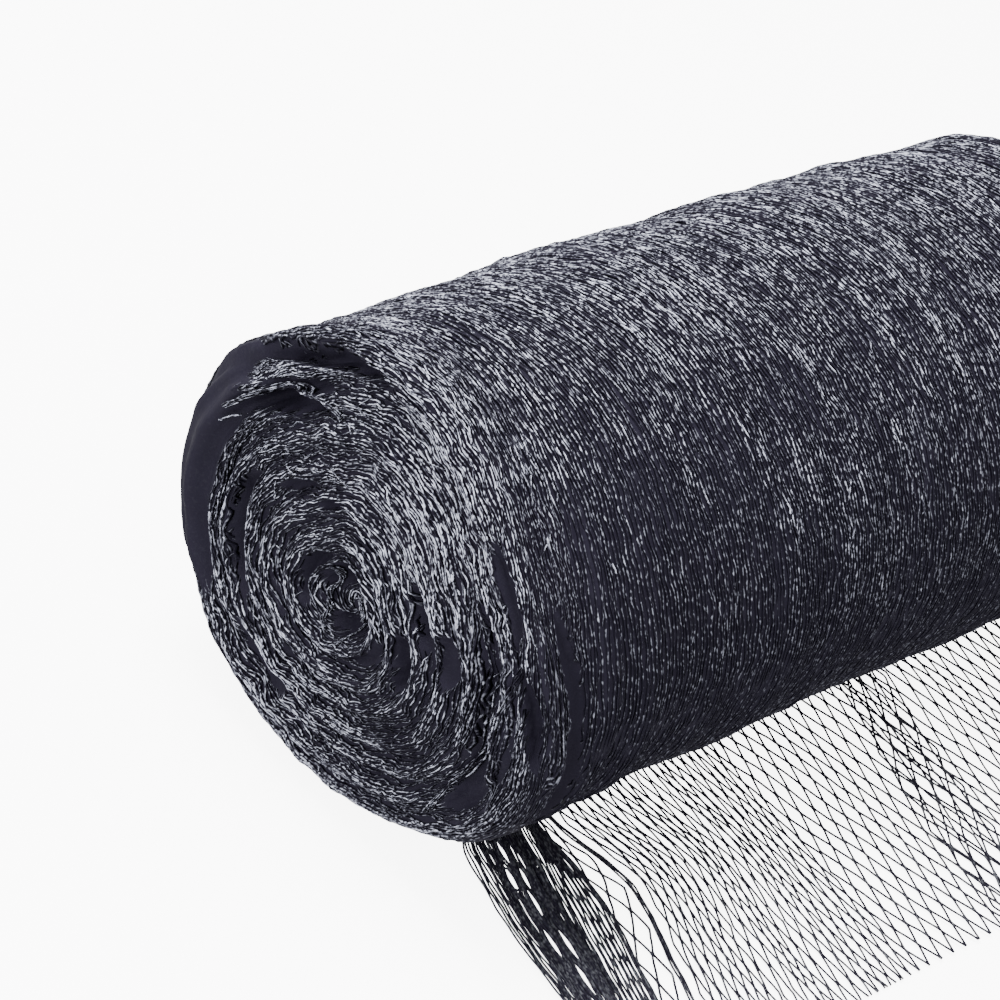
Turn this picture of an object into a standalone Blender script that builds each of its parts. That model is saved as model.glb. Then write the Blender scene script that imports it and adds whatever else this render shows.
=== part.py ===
"""Roll of black diamond bird netting with its loose end spread out beneath it.

Metres, +Z up. The roll lies along X with its middle over the origin, and the
loose end runs out along -Y over the floor.
"""
import math

import bmesh
import bpy
from mathutils import Matrix, Vector

ROLL_RADIUS = 0.135
ROLL_LENGTH = 0.490
AXIS_HEIGHT = 0.1320
RIM_ROUNDING = 0.020
TURN_PITCH = 0.0165
TURN_DEPTH = 0.0044
CORE_DROP = 0.014
SEGMENTS = 72
NEAR_FACE_RINGS = 26
FAR_FACE_RINGS = 17
RIM_RINGS = 4
SIDE_SPACING = (0.012, 0.014, 0.016, 0.020, 0.028, 0.036, 0.042, 0.046, 0.046, 0.046, 0.040, 0.032, 0.024)

# Out-of-round section: order of the wave, cosine part, sine part. It fades
# from the near end to the far end over FADE.
SECTION_WAVES = (
    (2, 0.049, -0.032),
    (3, 0.006, -0.046),
    (4, 0.017, 0.011),
)
FADE = 0.118

# Relief of the two ends: radius as a share of the roll's, height outward.
NEAR_RELIEF = (
    (0.00, -0.010),
    (0.07, -0.007),
    (0.15, 0.003),
    (0.35, 0.006),
    (0.60, 0.003),
    (0.80, -0.002),
    (0.88, 0.000),
    (1.00, 0.000),
)
FAR_RELIEF = (
    (0.00, -0.012),
    (0.10, -0.004),
    (0.30, 0.004),
    (0.65, 0.002),
    (0.88, 0.000),
    (1.00, 0.000),
)

# Gaps between turns on the near end, and one lip: radius share, middle angle
# and half length of the arc in degrees, depth, half width.
NEAR_GAPS = (
    (0.88, 68.0, 42.0, -0.013, 0.0070),
    (0.70, 38.0, 24.0, -0.009, 0.0065),
    (0.78, 5.0, 30.0, -0.007, 0.0090),
    (0.25, 35.0, 40.0, -0.006, 0.0050),
    (0.64, -38.0, 26.0, -0.008, 0.0065),
    (0.38, 183.0, 35.0, -0.006, 0.0055),
    (0.72, 215.0, 45.0, -0.006, 0.0060),
    (0.93, 20.0, 75.0, 0.006, 0.0080),
)
FAR_GAPS = (
    (0.82, 120.0, 50.0, -0.008, 0.0090),
    (0.55, 20.0, 40.0, -0.006, 0.0090),
    (0.60, 250.0, 35.0, -0.006, 0.0090),
)

# Layer edges and bands round the roll: place along it from the near end,
# half width, height, middle angle and half length of the arc in degrees.
SIDE_BANDS = (
    (0.030, 0.008, 0.0025, -40.0, 70.0),
    (0.058, 0.009, 0.0022, 185.0, 80.0),
    (0.086, 0.010, 0.0016, 215.0, 60.0),
    (0.180, 0.030, 0.0018, 120.0, 110.0),
    (0.300, 0.032, 0.0020, 90.0, 120.0),
    (0.410, 0.030, 0.0022, 100.0, 120.0),
)

# The loose end. Stations run out from the roll, and each edge gives X at them.
STATIONS = (-0.042, -0.078, -0.137, -0.196, -0.254)
LEFT_EDGE = (-0.1765, -0.1990, -0.2147, -0.2235, -0.2303)
BUNCH_EDGE = (-0.1433, -0.1550, -0.1746, -0.1941, -0.2078)
STRAND_START = (-0.1340, -0.1430, -0.1390, -0.1600, -0.1790)
STRAND_END = (-0.1280, -0.1370, -0.1320, -0.1530, -0.1720)
FAN_EDGE = (-0.0151, -0.0190, -0.0260, -0.0320, -0.0370)
RIGHT_EDGE = (0.2304, 0.2290, 0.2265, 0.2240, 0.2215)

# Each part of the loose end from left to right: its first and last edge, its
# columns of diamonds, whether the diamonds stand open, and its folds' height.
SECTIONS = (
    ("bunch", LEFT_EDGE, BUNCH_EDGE, 8, False, 0.0085),
    ("loose", BUNCH_EDGE, STRAND_START, 1, True, 0.0),
    ("strand", STRAND_START, STRAND_END, 2, False, 0.0045),
    ("fan", STRAND_END, FAN_EDGE, 10, True, 0.0),
    ("even", FAN_EDGE, RIGHT_EDGE, 15, True, 0.0),
)
NET_ROWS = 4
SHEET_THICKNESS = 0.0016
CORD_HALF_WIDTH = 0.0018
SMALLEST_CUT = 0.0040

NET_BLACK = (0.0130, 0.0135, 0.0190, 1.0)


def ease(value):
    value = min(max(value, 0.0), 1.0)
    return value * value * (3.0 - 2.0 * value)


def read_table(rows, value):
    """Height at a place between the rows of a two-column table."""
    for (left, low), (right, high) in zip(rows, rows[1:]):
        if value <= right:
            return low + (high - low) * ease((value - left) / (right - left))
    return rows[-1][1]


def turn_from(angle, middle):
    """Signed angle in degrees from the middle of an arc, -180 to 180."""
    return (angle - middle + 180.0) % 360.0 - 180.0


def bump(distance, half_width):
    """Smooth hump, one in the middle and nothing past its half width."""
    return ease(1.0 - abs(distance) / half_width) if abs(distance) < half_width else 0.0


def net_material(name, roughness):
    material = bpy.data.materials.new(name)
    material.use_nodes = True
    shader = material.node_tree.nodes["Principled BSDF"]
    shader.inputs["Base Color"].default_value = NET_BLACK
    shader.inputs["Roughness"].default_value = roughness
    shader.inputs["Metallic"].default_value = 0.0
    return material


def add_object(name, mesh, collection, material):
    piece = bpy.data.objects.new(name, mesh)
    collection.objects.link(piece)
    mesh.materials.append(material)
    return piece


def roll_profile():
    """Half section of the roll, from the far end's middle to the near end's."""
    half = ROLL_LENGTH / 2.0
    flat = ROLL_RADIUS - RIM_ROUNDING
    points = [(flat * ring / FAR_FACE_RINGS, half) for ring in range(FAR_FACE_RINGS + 1)]
    for ring in range(1, RIM_RINGS + 1):
        angle = math.pi / 2.0 * ring / RIM_RINGS
        points.append((flat + RIM_ROUNDING * math.sin(angle), half - RIM_ROUNDING * (1.0 - math.cos(angle))))
    side = [half - RIM_ROUNDING]
    straight = ROLL_LENGTH - 2.0 * RIM_ROUNDING
    for step in reversed(SIDE_SPACING):
        side.append(side[-1] - step * straight / sum(SIDE_SPACING))
    points.extend((ROLL_RADIUS, height) for height in side[1:])
    for ring in range(1, RIM_RINGS + 1):
        angle = math.pi / 2.0 * ring / RIM_RINGS
        points.append((flat + RIM_ROUNDING * math.cos(angle), -half + RIM_ROUNDING * (1.0 - math.sin(angle))))
    points.extend((flat * (1.0 - ring / NEAR_FACE_RINGS), -half) for ring in range(1, NEAR_FACE_RINGS + 1))
    return points


def turn_roll():
    """The smooth roll, its profile turned about Z by a Screw modifier."""
    profile = bpy.data.meshes.new("roll_profile")
    drawing = bmesh.new()
    corners = [drawing.verts.new((radius, 0.0, height)) for radius, height in roll_profile()]
    for first, second in zip(corners, corners[1:]):
        drawing.edges.new((first, second))
    drawing.to_mesh(profile)
    drawing.free()
    turned = bpy.data.objects.new("roll_turned", profile)
    bpy.context.scene.collection.objects.link(turned)
    screw = turned.modifiers.new("turn", "SCREW")
    screw.axis = "Z"
    screw.angle = 2.0 * math.pi
    screw.steps = SEGMENTS
    screw.render_steps = SEGMENTS
    screw.use_merge_vertices = True
    screw.merge_threshold = 0.00005
    bpy.context.view_layer.update()
    mesh = bpy.data.meshes.new_from_object(turned.evaluated_get(bpy.context.evaluated_depsgraph_get()))
    bpy.data.objects.remove(turned)
    mesh.transform(Matrix.Rotation(math.pi / 2.0, 4, "Y"))
    return mesh


def end_relief(share, angle, relief, gaps, handed):
    """How far an end stands out at a radius share and an angle in degrees."""
    height = read_table(relief, share)
    spiral = share * ROLL_RADIUS / TURN_PITCH - handed * angle / 360.0
    ridge = 0.5 + 0.5 * math.cos(2.0 * math.pi * spiral)
    height += TURN_DEPTH * (ridge - 0.6) * ease((share - 0.05) / 0.12) * ease((0.98 - share) / 0.10)
    for radius_share, middle, half_arc, depth, half_width in gaps:
        along = bump(turn_from(angle, middle), half_arc)
        across = bump((share - radius_share) * ROLL_RADIUS, half_width)
        height += depth * along * across
    return height


def section_swell(angle, from_near):
    """Share by which the soft section departs from round."""
    turn = math.radians(angle)
    swell = 0.0
    for order, cosine_part, sine_part in SECTION_WAVES:
        swell += cosine_part * math.cos(order * turn) + sine_part * math.sin(order * turn)
    return swell * math.exp(-max(from_near, 0.0) / FADE)


def side_height(angle, from_near):
    """Height of the bands and layer edges that run round the roll."""
    height = 0.0
    for place, half_width, tall, middle, half_arc in SIDE_BANDS:
        height += tall * bump(from_near - place, half_width) * bump(turn_from(angle, middle), half_arc)
    height += 0.0008 * math.sin(37.0 * from_near + math.radians(2.0 * angle))
    return height


def wind_point(point):
    """Where a point of the smooth roll lies on the wound one."""
    radius = math.hypot(point.y, point.z)
    angle = math.degrees(math.atan2(point.z, point.y))
    from_near = point.x + ROLL_LENGTH / 2.0
    share = radius / ROLL_RADIUS
    along = point.x
    on_face = ease((1.0 - share) / 0.08)
    if from_near < RIM_ROUNDING + 0.0001:
        along -= on_face * end_relief(share, angle, NEAR_RELIEF, NEAR_GAPS, 1.0)
    if from_near > ROLL_LENGTH - RIM_ROUNDING - 0.0001:
        along += on_face * end_relief(share, angle, FAR_RELIEF, FAR_GAPS, -1.0)
    radius *= 1.0 + section_swell(angle, from_near)
    radius += side_height(angle, from_near) * ease((share - 0.85) / 0.12)
    drop = CORE_DROP * (1.0 - min(share, 1.0)) ** 2
    turn = math.radians(angle)
    across = radius * math.cos(turn)
    height = AXIS_HEIGHT + radius * math.sin(turn) - drop
    return Vector((along, across, max(height, 0.0)))


def make_roll(collection):
    mesh = turn_roll()
    mesh.name = "net_roll"
    for corner in mesh.vertices:
        corner.co = wind_point(corner.co)
    mesh.shade_smooth()
    mesh.set_sharp_from_angle(angle=math.radians(50.0))
    return add_object("net_roll", mesh, collection, net_material("wound_net", 0.55))


def edge_at(edge, y):
    """X of one of the loose end's edges at a distance out from the roll."""
    for index in range(len(STATIONS) - 1):
        near, far = STATIONS[index], STATIONS[index + 1]
        if y >= far or index == len(STATIONS) - 2:
            share = (y - near) / (far - near)
            before = edge[max(index - 1, 0)]
            after = edge[min(index + 2, len(STATIONS) - 1)]
            first, last = edge[index], edge[index + 1]
            lead = (last - before) / 2.0
            trail = (after - first) / 2.0
            square, cube = share * share, share * share * share
            return ((2.0 * cube - 3.0 * square + 1.0) * first + (cube - 2.0 * square + share) * lead
                    + (3.0 * square - 2.0 * cube) * last + (cube - square) * trail)
    return edge[-1]


def lay_column(column, y):
    """X of a column of the net, counted from the left edge, at a place Y."""
    for name, first, last, columns, stands_open, folds in SECTIONS:
        if column <= columns + 1e-6:
            start, end = edge_at(first, y), edge_at(last, y)
            return start + (end - start) * column / columns
        column -= columns
    return edge_at(RIGHT_EDGE, y)


def section_at(x, y):
    """The section that a place on the loose end lies in, and the share across it."""
    for section in SECTIONS:
        start, end = edge_at(section[1], y), edge_at(section[2], y)
        if x <= end or section is SECTIONS[-1]:
            return section, (x - start) / (end - start)
    return SECTIONS[-1], 1.0


def fold_height(x, y):
    """Height of the gathered folds above the flat sheet."""
    section, share = section_at(x, y)
    tall, columns = section[5], section[3]
    if tall == 0.0 or not 0.0 < share < 1.0:
        return 0.0
    crest = 0.5 + 0.5 * math.cos(2.0 * math.pi * (share * columns / 2.0 - 0.5))
    crown = math.sin(math.pi * share) ** 0.5
    uneven = 0.8 + 0.2 * math.sin(55.0 * y + 7.0 * share)
    under_roll = ease((-y - 0.040) / 0.040)
    return tall * uneven * crown * (0.45 + 0.55 * crest) * under_roll


def lift(x, y):
    """How far the open net stands off the floor here and there."""
    wave = math.sin(31.0 * x + 1.3) * math.sin(43.0 * y + 17.0 * x)
    return 0.0012 * max(wave, 0.0) * ease((-y - 0.050) / 0.030)


def widest_gap(face):
    """The shorter diagonal of a diamond, or the shorter side of a half one."""
    corners = [corner.co for corner in face.verts]
    if len(corners) == 4:
        return min((corners[0] - corners[2]).length, (corners[1] - corners[3]).length)
    return min(edge.calc_length() for edge in face.edges)


def make_loose_net(collection):
    columns = sum(section[3] for section in SECTIONS)
    sheet = bmesh.new()
    bmesh.ops.create_grid(sheet, x_segments=columns, y_segments=NET_ROWS, size=0.5)
    grid_edges = [edge for edge in sheet.edges if not edge.is_boundary]
    bmesh.ops.poke(sheet, faces=list(sheet.faces))
    bmesh.ops.dissolve_edges(sheet, edges=grid_edges, use_verts=False)
    for corner in sheet.verts:
        column = (corner.co.x + 0.5) * columns
        y = STATIONS[0] + (STATIONS[-1] - STATIONS[0]) * (0.5 - corner.co.y)
        corner.co = Vector((lay_column(column, y), y, 0.0))
    open_faces = []
    for face in sheet.faces:
        middle = face.calc_center_median()
        section, share = section_at(middle.x, middle.y)
        if section[4] and widest_gap(face) - 2.0 * CORD_HALF_WIDTH > SMALLEST_CUT:
            open_faces.append(face)
    bmesh.ops.inset_individual(sheet, faces=open_faces, thickness=CORD_HALF_WIDTH, use_even_offset=True)
    bmesh.ops.delete(sheet, geom=open_faces, context="FACES_ONLY")
    sheet.normal_update()
    mesh = bpy.data.meshes.new("loose_net_flat")
    sheet.to_mesh(mesh)
    sheet.free()
    flat = bpy.data.objects.new("loose_net_flat", mesh)
    bpy.context.scene.collection.objects.link(flat)
    solid = flat.modifiers.new("thickness", "SOLIDIFY")
    solid.thickness = SHEET_THICKNESS
    solid.offset = 1.0
    bpy.context.view_layer.update()
    mesh = bpy.data.meshes.new_from_object(flat.evaluated_get(bpy.context.evaluated_depsgraph_get()))
    bpy.data.objects.remove(flat)
    mesh.name = "loose_net"
    for corner in mesh.vertices:
        x, y = corner.co.x, corner.co.y
        on_top = corner.co.z > SHEET_THICKNESS / 2.0
        rise = lift(x, y)
        if on_top:
            rise += fold_height(x, y)
        corner.co.z += rise
    return add_object("loose_net", mesh, collection, net_material("loose_net", 0.45))


def main():
    for piece in list(bpy.data.objects):
        bpy.data.objects.remove(piece, do_unlink=True)
    collection = bpy.data.collections.new("bird_netting")
    bpy.context.scene.collection.children.link(collection)
    make_roll(collection)
    make_loose_net(collection)


main()
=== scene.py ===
"""Roll of black bird netting, its loose end spread out over the floor from beneath it."""
import math

import bpy
import numpy as np
from mathutils import Matrix, Vector


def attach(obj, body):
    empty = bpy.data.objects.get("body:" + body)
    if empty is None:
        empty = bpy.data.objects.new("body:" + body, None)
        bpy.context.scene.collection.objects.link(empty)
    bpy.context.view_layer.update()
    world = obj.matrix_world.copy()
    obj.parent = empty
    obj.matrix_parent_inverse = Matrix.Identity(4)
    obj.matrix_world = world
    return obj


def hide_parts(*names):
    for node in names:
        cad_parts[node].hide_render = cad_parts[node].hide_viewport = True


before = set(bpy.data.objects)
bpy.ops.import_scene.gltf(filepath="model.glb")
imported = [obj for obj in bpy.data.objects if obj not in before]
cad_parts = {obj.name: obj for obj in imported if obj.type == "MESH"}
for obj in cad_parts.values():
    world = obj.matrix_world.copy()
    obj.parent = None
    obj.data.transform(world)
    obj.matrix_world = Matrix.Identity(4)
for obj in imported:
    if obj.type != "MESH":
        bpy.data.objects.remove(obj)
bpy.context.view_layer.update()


# The photographer's camera: above the near end, looking down along the roll
# and held a little askew. The picture's frame is 1000 by 1000.
CAMERA_PLACE = (-1.1337, -0.8535, 1.0702)
CAMERA_AZIMUTH = -48.98
CAMERA_ELEVATION = 35.09
CAMERA_TILT = 15.0
FOCAL_PIXELS = 3200.0
PICTURE_PIXELS = 1000.0
SENSOR_WIDTH = 36.0

camera_data = bpy.data.cameras.new("camera")
camera_data.sensor_width = SENSOR_WIDTH
camera_data.lens = SENSOR_WIDTH * FOCAL_PIXELS / PICTURE_PIXELS
camera = bpy.data.objects.new("camera", camera_data)
bpy.context.scene.collection.objects.link(camera)
camera.matrix_world = (Matrix.Translation(CAMERA_PLACE)
                       @ Matrix.Rotation(math.radians(CAMERA_AZIMUTH), 4, "Z")
                       @ Matrix.Rotation(math.radians(90.0 - CAMERA_ELEVATION), 4, "X")
                       @ Matrix.Rotation(math.radians(CAMERA_TILT), 4, "Z"))
bpy.context.scene.camera = camera


# The studio: a white floor that runs out of the picture, a broad soft light
# straight above the roll, and a fainter one on its near end.
FLOOR_SIZE = 30.0
FLOOR_DEPTH = 0.0004
FLOOR_WHITE = (0.93, 0.93, 0.93, 1.0)
FLOOR_ROUGHNESS = 0.9
FLOOR_GLOW = 7.0
PURE_WHITE = (1.0, 1.0, 1.0, 1.0)
AMBIENT = 1.90
# Each lamp's name, place, aim, width and power.
LAMPS = (
    ("top_light", (-0.30, 0.35, 1.8), (0.0, 0.0, 0.10), 0.9, 62.0),
    ("end_light", (-2.1, -0.3, 1.1), (-0.25, 0.0, 0.13), 1.4, 38.0),
)

bpy.ops.object.select_all(action="DESELECT")
bpy.ops.mesh.primitive_plane_add(size=FLOOR_SIZE, location=(0.0, 0.0, -FLOOR_DEPTH))
floor = bpy.context.object
floor.name = "floor"
floor_paint = bpy.data.materials.new("studio_white")
floor_paint.use_nodes = True
for socket, value in (("Base Color", FLOOR_WHITE), ("Roughness", FLOOR_ROUGHNESS),
                      ("Emission Color", PURE_WHITE), ("Emission Strength", FLOOR_GLOW)):
    floor_paint.node_tree.nodes["Principled BSDF"].inputs[socket].default_value = value
floor.data.materials.append(floor_paint)
floor.visible_diffuse = False
floor.visible_glossy = False
for name, place, target, size, power in LAMPS:
    lamp_data = bpy.data.lights.new(name, "AREA")
    lamp_data.shape = "DISK"
    lamp_data.size = size
    lamp_data.energy = power
    lamp = bpy.data.objects.new(name, lamp_data)
    bpy.context.scene.collection.objects.link(lamp)
    lamp.location = place
    lamp.rotation_euler = (Vector(target) - Vector(place)).to_track_quat("-Z", "Y").to_euler()
world = bpy.data.worlds.new("studio")
world.use_nodes = True
world.node_tree.nodes["Background"].inputs["Color"].default_value = PURE_WHITE
world.node_tree.nodes["Background"].inputs["Strength"].default_value = AMBIENT
bpy.context.scene.world = world


# The wound net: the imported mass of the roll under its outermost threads, many
# layers of soft black polyethylene net. It is wound up slack, with no core.
ROLL_RADIUS = 0.135
ROLL_LENGTH = 0.490
AXIS_HEIGHT = 0.1320
RIM_ROUNDING = 0.020
TURN_PITCH = 0.0165
TURN_DEPTH = 0.0060
CORE_DROP = 0.014
# The section's waves out of round: order, cosine part and sine part. They fade
# out along the roll.
SECTION_WAVES = ((2, 0.049, -0.032), (3, 0.006, -0.046), (4, 0.017, 0.011))
FADE = 0.118
FLOOR_CLEARANCE = 0.0024
PRESSED_SHARE = 0.4
# Relief of each end, from the middle to the rim: share of the radius, height.
NEAR_RELIEF = ((0.00, -0.010), (0.07, -0.007), (0.15, 0.003), (0.35, 0.006), (0.60, 0.003), (0.80, -0.002),
               (0.88, 0.000), (1.00, 0.000))
FAR_RELIEF = ((0.00, -0.012), (0.10, -0.004), (0.30, 0.004), (0.65, 0.002), (0.88, 0.000), (1.00, 0.000))
FLAT = ROLL_RADIUS - RIM_ROUNDING
CORNER = RIM_ROUNDING * math.pi / 2.0
STRAIGHT = ROLL_LENGTH - 2.0 * RIM_ROUNDING
PROFILE_LENGTH = 2.0 * FLAT + 2.0 * CORNER + STRAIGHT

# Crumples of the ends, in two sizes: height and wavelength.
COARSE_CRUMPLE, COARSE_WAVE = 0.0011, 0.030
FINE_CRUMPLE, FINE_WAVE = 0.0004, 0.011
TURN_WOBBLE = 0.10
# Where the outer turns' gaps are filled: angle, half arc and how far.
FILLED_ANGLE, FILLED_ARC, FILLED_SHARE = 112.0, 62.0, 0.85
# Slack of the side: its even swell, and its coarse and fine unevenness.
SWELL_HEIGHT, COARSE_SLACK, FINE_SLACK = 0.0008, 0.0008, 0.0005

# Hollows where the folded net gapes: distance along the roll's half section,
# angle, half arc in degrees, half width, lean in metres a degree, and depth.
HOLLOWS = (
    (0.1235, 64.0, 27.0, 0.0052, -0.00031, 0.013),
    (0.1110, 52.0, 14.0, 0.0030, -0.00040, 0.005),
    (0.1035, 44.0, 21.0, 0.0062, -0.00030, 0.013),
    (0.0775, 350.0, 26.0, 0.0042, 0.00000, 0.009),
    (0.0510, 70.0, 12.0, 0.0030, 0.00000, 0.006),
    (0.0630, 40.0, 13.0, 0.0030, -0.00010, 0.005),
    (0.0165, 105.0, 90.0, 0.0075, 0.00002, 0.012),
    (0.0120, 250.0, 50.0, 0.0060, 0.00000, 0.008),
    (0.0260, 10.0, 45.0, 0.0035, 0.00000, 0.006),
    (0.0630, 153.0, 15.0, 0.0040, 0.00000, 0.008),
    (0.0490, 183.0, 17.0, 0.0052, 0.00020, 0.009),
    (0.0760, 169.0, 10.0, 0.0065, 0.00000, 0.007),
    (0.0690, 303.0, 27.0, 0.0048, 0.00000, 0.009),
    (0.0940, 300.0, 14.0, 0.0085, 0.00000, 0.007),
    (0.0300, 215.0, 30.0, 0.0030, 0.00000, 0.005),
    (0.1225, 148.0, 14.0, 0.0045, 0.00000, 0.007),
    (0.1260, 171.0, 14.0, 0.0050, 0.00050, 0.009),
    (0.1040, 164.0, 17.0, 0.0040, 0.00000, 0.006),
    (0.1085, 201.0, 14.0, 0.0068, 0.00025, 0.009),
    (0.1500, 166.0, 15.0, 0.0045, 0.00040, 0.004),
    (0.1560, 192.0, 17.0, 0.0070, 0.00030, 0.005),
    (0.6320, 120.0, 50.0, 0.0080, 0.00000, 0.010),
    (0.6690, 20.0, 40.0, 0.0080, 0.00000, 0.008),
    (0.6620, 250.0, 35.0, 0.0080, 0.00000, 0.008),
)
# How ragged a patch's edge is, as a share of its width, and the ripple's length
# along the section and round the roll.
RAGGED, RAGGED_ALONG, RAGGED_ROUND = 0.03, 0.018, 22.0
# Raised folds and layer edges that run round the roll, given as the hollows are.
FOLDS = (
    (0.1330, 55.0, 50.0, 0.0065, -0.00020, 0.0060),
    (0.1120, 44.0, 24.0, 0.0030, -0.00040, 0.0035),
    (0.0958, 176.0, 22.0, 0.0032, 0.00000, 0.0050),
    (0.1140, 176.0, 20.0, 0.0032, 0.00000, 0.0050),
    (0.1385, 171.0, 20.0, 0.0036, 0.00020, 0.0045),
    (0.1730, 185.0, 55.0, 0.0080, 0.00000, 0.0022),
    (0.2010, 215.0, 60.0, 0.0100, 0.00000, 0.0016),
    (0.1450, 320.0, 70.0, 0.0080, 0.00000, 0.0025),
    (0.2950, 120.0, 110.0, 0.0300, 0.00000, 0.0018),
    (0.4150, 90.0, 120.0, 0.0320, 0.00000, 0.0020),
    (0.5250, 100.0, 120.0, 0.0300, 0.00000, 0.0022),
)

# Where a layer of the net is stretched flat over the rim and under the roll, so
# that no loose threads show on it.
TAUT = (
    (0.1190, 356.0, 34.0, 0.0200, 0.00000, 1.0),
    (0.1330, 20.0, 18.0, 0.0080, 0.00000, 0.7),
)
TAUT_RISE = 0.0022

# How far the threads sink into the imported net: where it is stretched flat, where
# it is hollow, and where it lies pressed, taken as where its painted light is low.
TAUT_SINK = 0.0050
HOLLOW_SINK = 0.0022
PRESSED_IN = 0.0012

# How much painted light the loose threads get, painted as light dashes in their
# base colour: on an end, more on the crests of the turns and in its broad patches
# of painted highlight and shade (angle, half arc, change), and on the side, more
# towards the top, as painted light from above.
FACE_LIGHT, CREST_LIGHT = 0.54, 0.38
FACE_PATCHES = ((115.0, 85.0, 0.18), (275.0, 50.0, 0.12), (212.0, 45.0, -0.16), (0.0, 50.0, -0.08))
SIDE_LIGHT, TOP_LIGHT, STREAK_LIGHT = 0.39, 0.33, 0.13
SIDE_LEAN = 0.019
# Patches of painted shade (below 0) or painted light on the side's threads,
# given as the hollows are.
UNEVEN = (
    (0.2150, 136.0, 11.0, 0.0200, 0.00040, -0.26),
    (0.1680, 139.0, 14.0, 0.0090, 0.00030, -0.24),
    (0.2600, 131.0, 9.0, 0.0180, 0.00040, -0.20),
    (0.3180, 124.0, 9.0, 0.0220, 0.00000, -0.24),
    (0.2860, 161.0, 14.0, 0.0060, 0.00020, -0.22),
    (0.3260, 166.0, 11.0, 0.0120, 0.00000, -0.20),
    (0.3220, 150.0, 18.0, 0.0380, 0.00000, 0.10),
    (0.2820, 98.0, 18.0, 0.0500, 0.00000, 0.10),
    (0.1600, 115.0, 18.0, 0.0300, 0.00000, 0.08),
)


def ease(value):
    value = np.clip(value, 0.0, 1.0)
    return value * value * (3.0 - 2.0 * value)


def bump(distance, half_width):
    return ease(1.0 - np.abs(distance) / half_width)


def turn_from(angle, middle):
    return (angle - middle + 180.0) % 360.0 - 180.0


def read_table(rows, value):
    height = np.full_like(value, rows[-1][1])
    for (left, low), (right, high) in reversed(list(zip(rows, rows[1:]))):
        step = low + (high - low) * ease((value - left) / (right - left))
        height = np.where(value <= right, step, height)
    return height


WAVE_SPREAD = 0.7
WAVE_PEAK = 1.4


def ripple(seed, terms, *fields, around=None):
    """A smooth uneven wave of about -1 to 1. Each field has its wavelength, and
    around is an angle in degrees, over which the wave closes on itself."""
    draw = np.random.default_rng(seed)
    total = 0.0
    for _ in range(terms):
        phase = draw.uniform(0.0, 2.0 * math.pi)
        for value, wavelength in fields:
            phase = phase + value * 2.0 * math.pi * draw.normal(0.0, WAVE_SPREAD) / wavelength
        if around is not None:
            phase = phase + np.radians(around[0]) * round(draw.normal(0.0, WAVE_SPREAD) * 360.0 / around[1])
        total = total + np.sin(phase)
    return total / math.sqrt(terms) / WAVE_PEAK


def profile_at(path):
    """Radius, place along the roll, and outward direction at a distance along the
    roll's half section, from the near end's middle over both rims."""
    first, second, third, fourth = FLAT, FLAT + CORNER, FLAT + CORNER + STRAIGHT, PROFILE_LENGTH - FLAT
    near = (path - first) / RIM_ROUNDING
    far = (path - third) / RIM_ROUNDING
    half = ROLL_LENGTH / 2.0
    parts = [path < first, path < second, path < third, path < fourth]
    radius = np.select(
        parts,
        [path, FLAT + RIM_ROUNDING * np.sin(near), np.full_like(path, ROLL_RADIUS),
         FLAT + RIM_ROUNDING * np.cos(far)],
        PROFILE_LENGTH - path)
    along = np.select(
        parts,
        [np.full_like(path, -half), -half + RIM_ROUNDING * (1.0 - np.cos(near)),
         -half + RIM_ROUNDING + path - second, half - RIM_ROUNDING * (1.0 - np.sin(far))],
        half)
    out = np.select(parts, [np.zeros_like(path), np.sin(near), np.ones_like(path), np.cos(far)], 0.0)
    forward = np.select(parts, [-np.ones_like(path), -np.cos(near), np.zeros_like(path), np.sin(far)], 1.0)
    return radius, along, out, forward


def patches(rows, path, angle):
    """Height of a table's patches added up, and how far inside one a place is."""
    height, inside = np.zeros_like(path), np.zeros_like(path)
    ragged = RAGGED * ripple(11, 6, (path, RAGGED_ALONG), around=(angle, RAGGED_ROUND))
    for middle_path, middle_angle, half_arc, half_width, lean, tall in rows:
        turn = turn_from(angle, middle_angle)
        away = np.hypot(turn / half_arc, (path - middle_path - lean * turn) / half_width) + ragged
        height = height + tall * ease((1.10 - away) / 0.45)
        inside = np.maximum(inside, ease((1.14 - away) / 0.26))
    return height, inside


def turn_ridge(share, angle, handed):
    """The spiral of the turns' edges on an end, 1 on a crest and 0 between two.
    At the top of the outer turns the edges lie close and the gaps are filled."""
    wobble = TURN_WOBBLE * ripple(12, 5, (share, 0.30), around=(angle, 70.0))
    turns = share * ROLL_RADIUS / TURN_PITCH - handed * angle / 360.0 + wobble
    ridge = 0.5 + 0.5 * np.cos(2.0 * math.pi * turns)
    filled = FILLED_SHARE * bump(turn_from(angle, FILLED_ANGLE), FILLED_ARC) * ease((share - 0.30) / 0.25)
    return ridge + (FILLED_SHARE - ridge) * filled


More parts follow.
